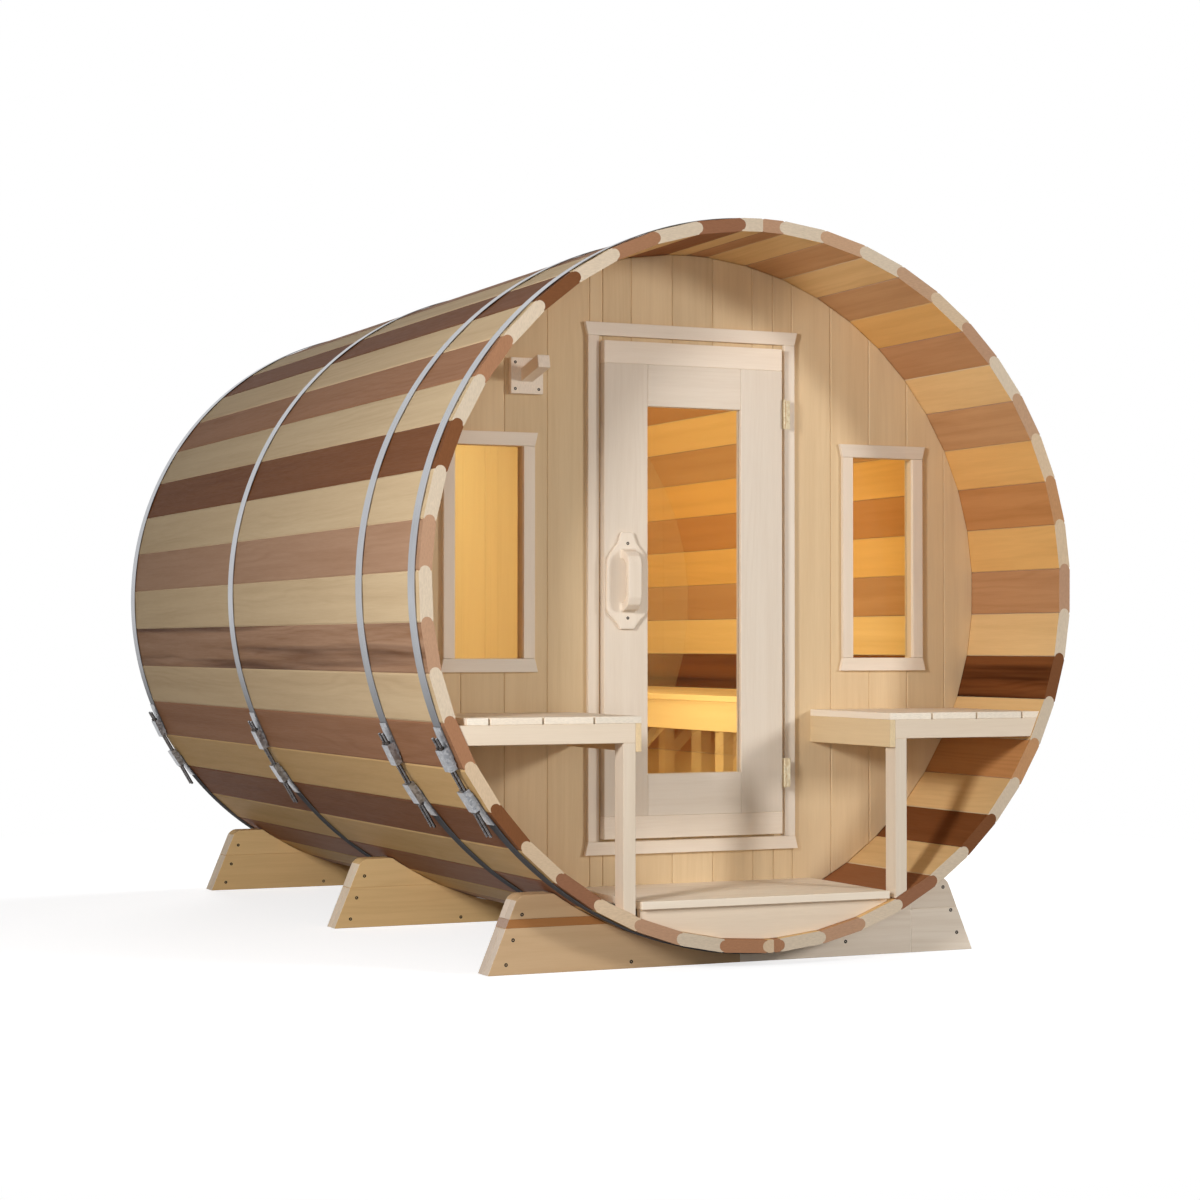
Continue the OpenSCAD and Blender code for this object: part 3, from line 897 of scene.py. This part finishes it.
def make_porch():
    for node, tone, along in (
        # The slats' paler tone is painted light from above on their tops
        ("left_bench_slats", DECK_PAINTED_LIGHT, Y), ("right_bench_slats", DECK_PAINTED_LIGHT, Y), ("porch_bench_rails", BENCH, None),
        # The aprons' warmer tone is painted warm bounce light
        ("porch_bench_aprons", APRON_PAINTED_BOUNCE, None), ("porch_bench_legs", BENCH, None), ("porch_end_panel", BENCH, X),
    ):
        plain_timber(node, "bench_timber", tone, along=along)
    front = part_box("porch_floor")[0].y
    # The porch floor's paler tone is painted light from above on its top
    boarded("porch_floor", "bench_timber", DECK_PAINTED_LIGHT, Y, front, FLOOR_BOARD_W, X, FLOOR_ARRIS)


def make_cabin():
    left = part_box("cabin_floor")[0].x
    boarded("cabin_floor", "cabin_timber", CABIN, X, left, CABIN_BOARD_W, Y, FLOOR_ARRIS)
    for node in ("cabin_bench_slats", "cabin_bench_rail", "cabin_bench_supports", "cabin_bench_braces"):
        plain_timber(node, "cabin_timber", CABIN)


# Cradles
def round_shoulders(bm):
    """Rounds the outer top corners of a cradle's blocks."""
    top = max(v.co.z for v in bm.verts)
    reach = max(abs(v.co.x) for v in bm.verts if v.co.z > top - CORNER)
    shoulders = []
    for edge in bm.edges:
        if all(v.co.z > top - CORNER and abs(v.co.x) > reach - CORNER for v in edge.verts):
            shoulders.append(edge)
    rounded(bm, shoulders, SHOULDER_R, SHOULDER_STEPS)


def make_cradle(end, part):
    """Two plies, in lengths of differing timber, with a dark band along the bottom of the front left block.
    """
    node = f"{end}_cradle_{part}"
    low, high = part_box(node)
    solid = cad_solid(node)
    if part == "blocks":
        round_shoulders(solid)
    lengths = (
        (low.x, 0.0, CRADLE if end == "front" else CRADLE_PALE),
        (0.0, CRADLE_JOINT_X, WHITEWOOD),
        (CRADLE_JOINT_X, high.x, WHITEWOOD),
    )
    streak_top = low.z + DARK_BAND_H
    piece = Timber(f"boarded_{node}", "cradle_timber")
    for ply in sliced(solid, Y, low.y, (high.y - low.y) / 2):
        for first, last, tone in lengths:
            length = slice_between(ply, X, first, last)
            if part == "blocks" and tone == CRADLE:
                streak = slice_between(length, Z, low.z, streak_top)
                piece.add(streak, DARK_BAND, X, arris=DARK_BAND_ARRIS)
                length = slice_between(length, Z, streak_top, high.z)
            piece.add(length, tone, X, arris=BOARD_ARRIS)
    piece.place("sauna", node)


def make_cradles():
    for end in CRADLES:
        for part in ("beam", "blocks"):
            make_cradle(end, part)


# Glazing and hinges
def coat(node, slot):
    """Puts a material on a CAD node that is shown as it is."""
    coats = frame["nodes"][node].data.materials
    coats.clear()
    coats.append(MATERIALS[slot])


def make_glazing():
    coat("window_glass", "glass")
    coat("door_glass", "glass")


def make_hinges():
    coat("frame_hinge_leaves", "hinge_brass")
    coat("door_hinge_leaves", "hinge_brass")


# Stage
CAMERA_AT = (-3.4805, -8.0780, 0.9182)
CAMERA_YAW = 0.42662
CAMERA_PITCH = 0.01763
CAMERA_LENS = 77.526
CAMERA_SENSOR = 36.0
CAMERA_REACH = 200.0
FLOOR_R = 60.0
FLOOR_SIDES = 96
FLOOR_NEAR = 1.8
FLOOR_FAR = 4.5
FLOOR_LIFT = 0.72
WORLD_LIGHT = 0.09
WARM = (1.0, 1.0, 0.54)


def make_camera():
    data = bpy.data.cameras.new("camera")
    data.lens = CAMERA_LENS
    data.sensor_width = CAMERA_SENSOR
    data.clip_end = CAMERA_REACH
    camera = bpy.data.objects.new("camera", data)
    camera.location = CAMERA_AT
    camera.rotation_euler = (math.pi / 2 + CAMERA_PITCH, 0, -CAMERA_YAW)
    bpy.context.collection.objects.link(camera)
    bpy.context.scene.camera = camera


def seen_directly(s):
    """1 for what the camera sees itself, in a mirror or through glass."""
    path = s.add("LightPath").outputs
    seen = s.math("MAXIMUM", path["Is Camera Ray"], path["Is Glossy Ray"])
    return s.math("MAXIMUM", seen, path["Is Transmission Ray"])


def floor_material():
    """Pale ground that fades to the white background away from the object."""
    s = Shader("floor")
    place = s.add("NewGeometry").outputs["Position"]
    away = s.add("VectorMath", {"operation": "LENGTH"})
    s.put(away.inputs[0], place)
    fade = s.spread(away.outputs["Value"], FLOOR_NEAR, FLOOR_FAR)
    speckle = s.noise(place, (40.0,) * 3, detail=3.0)
    ground = s.add("BsdfDiffuse", Color=s.mix(speckle, (0.58, 0.58, 0.59, 1), (0.62, 0.62, 0.63, 1)))
    lift = s.add("Emission", Color=WHITE, Strength=FLOOR_LIFT)
    near = s.add("AddShader")
    s.put(near.inputs[0], ground.outputs[0])
    s.put(near.inputs[1], lift.outputs[0])
    shown = s.blend(fade, near, s.add("Emission", Color=WHITE, Strength=1.0))
    hidden = s.add("BsdfDiffuse", Color=(0.34, 0.32, 0.3, 1))
    return s.surface(s.blend(seen_directly(s), hidden, shown))


def make_floor():
    mesh = bpy.data.meshes.new("floor")
    bm = bmesh.new()
    bmesh.ops.create_circle(bm, cap_ends=True, segments=FLOOR_SIDES, radius=FLOOR_R)
    bm.to_mesh(mesh)
    bm.free()
    floor = bpy.data.objects.new("floor", mesh)
    mesh.materials.append(floor_material())
    bpy.context.collection.objects.link(floor)


def make_world():
    """Soft light from all round, and a white background for what the camera sees."""
    s = Shader("studio", bpy.data.worlds, "OutputWorld")
    soft = s.add("Background", Color=(1.0, 0.985, 0.965, 1), Strength=WORLD_LIGHT)
    white = s.add("Background", Color=WHITE, Strength=1.0)
    bpy.context.scene.world = s.surface(s.blend(seen_directly(s), soft, white))


def lamp(name, at, aim, power, size, colour=(1, 1, 1), depth=None):
    data = bpy.data.lights.new(name, "AREA")
    data.energy = power
    data.color = colour
    data.shape = "RECTANGLE"
    data.size = size
    data.size_y = depth or size
    light = bpy.data.objects.new(name, data)
    light.location = at
    light.rotation_euler = (Vector(aim) - Vector(at)).to_track_quat("-Z", "Y").to_euler()
    light.visible_camera = False
    light.visible_glossy = False
    light.visible_transmission = False
    bpy.context.collection.objects.link(light)


def make_lamps():
    """Two main lamps and a weak fill for the front, two for the back, and two warm ones in the cabin."""
    lamp("front_fill", at=(-3.2, -8.5, 0.9), aim=(0.0, -1.0, 0.9), power=100, size=2.4)
    lamp("key_right", at=(3.65, -6.45, 2.4), aim=(-0.1, -1.1, 1.0), power=152, size=0.9)
    lamp("side_left", at=(-4.3, -3.95, 2.2), aim=(-0.6, -0.6, 1.2), power=166, size=0.8)
    lamp("rear_right", at=(4.5, 2.5, 4.0), aim=(0.6, 0.2, 1.1), power=210, size=2.5)
    lamp("rear", at=(1.2, 7.5, 2.8), aim=(0.0, 1.5, 1.0), power=200, size=2.5)
    lamp("cabin_ceiling", at=(-0.1, 0.35, 1.98), aim=(-0.1, 0.35, 0.0),
         power=16, size=0.5, depth=1.9, colour=WARM)
    lamp("cabin_front", at=(-0.35, -0.8, 0.75), aim=(0.4, 1.2, 0.9), power=9.6, size=0.35, colour=WARM)


def main():
    make_staves()
    make_bands()
    make_walls()
    make_joinery()
    make_handle()
    make_porch()
    make_cabin()
    make_cradles()
    make_glazing()
    make_hinges()
    make_screws()
    make_camera()
    make_floor()
    make_world()
    make_lamps()
    bpy.context.scene.view_settings.view_transform = "Standard"


main()
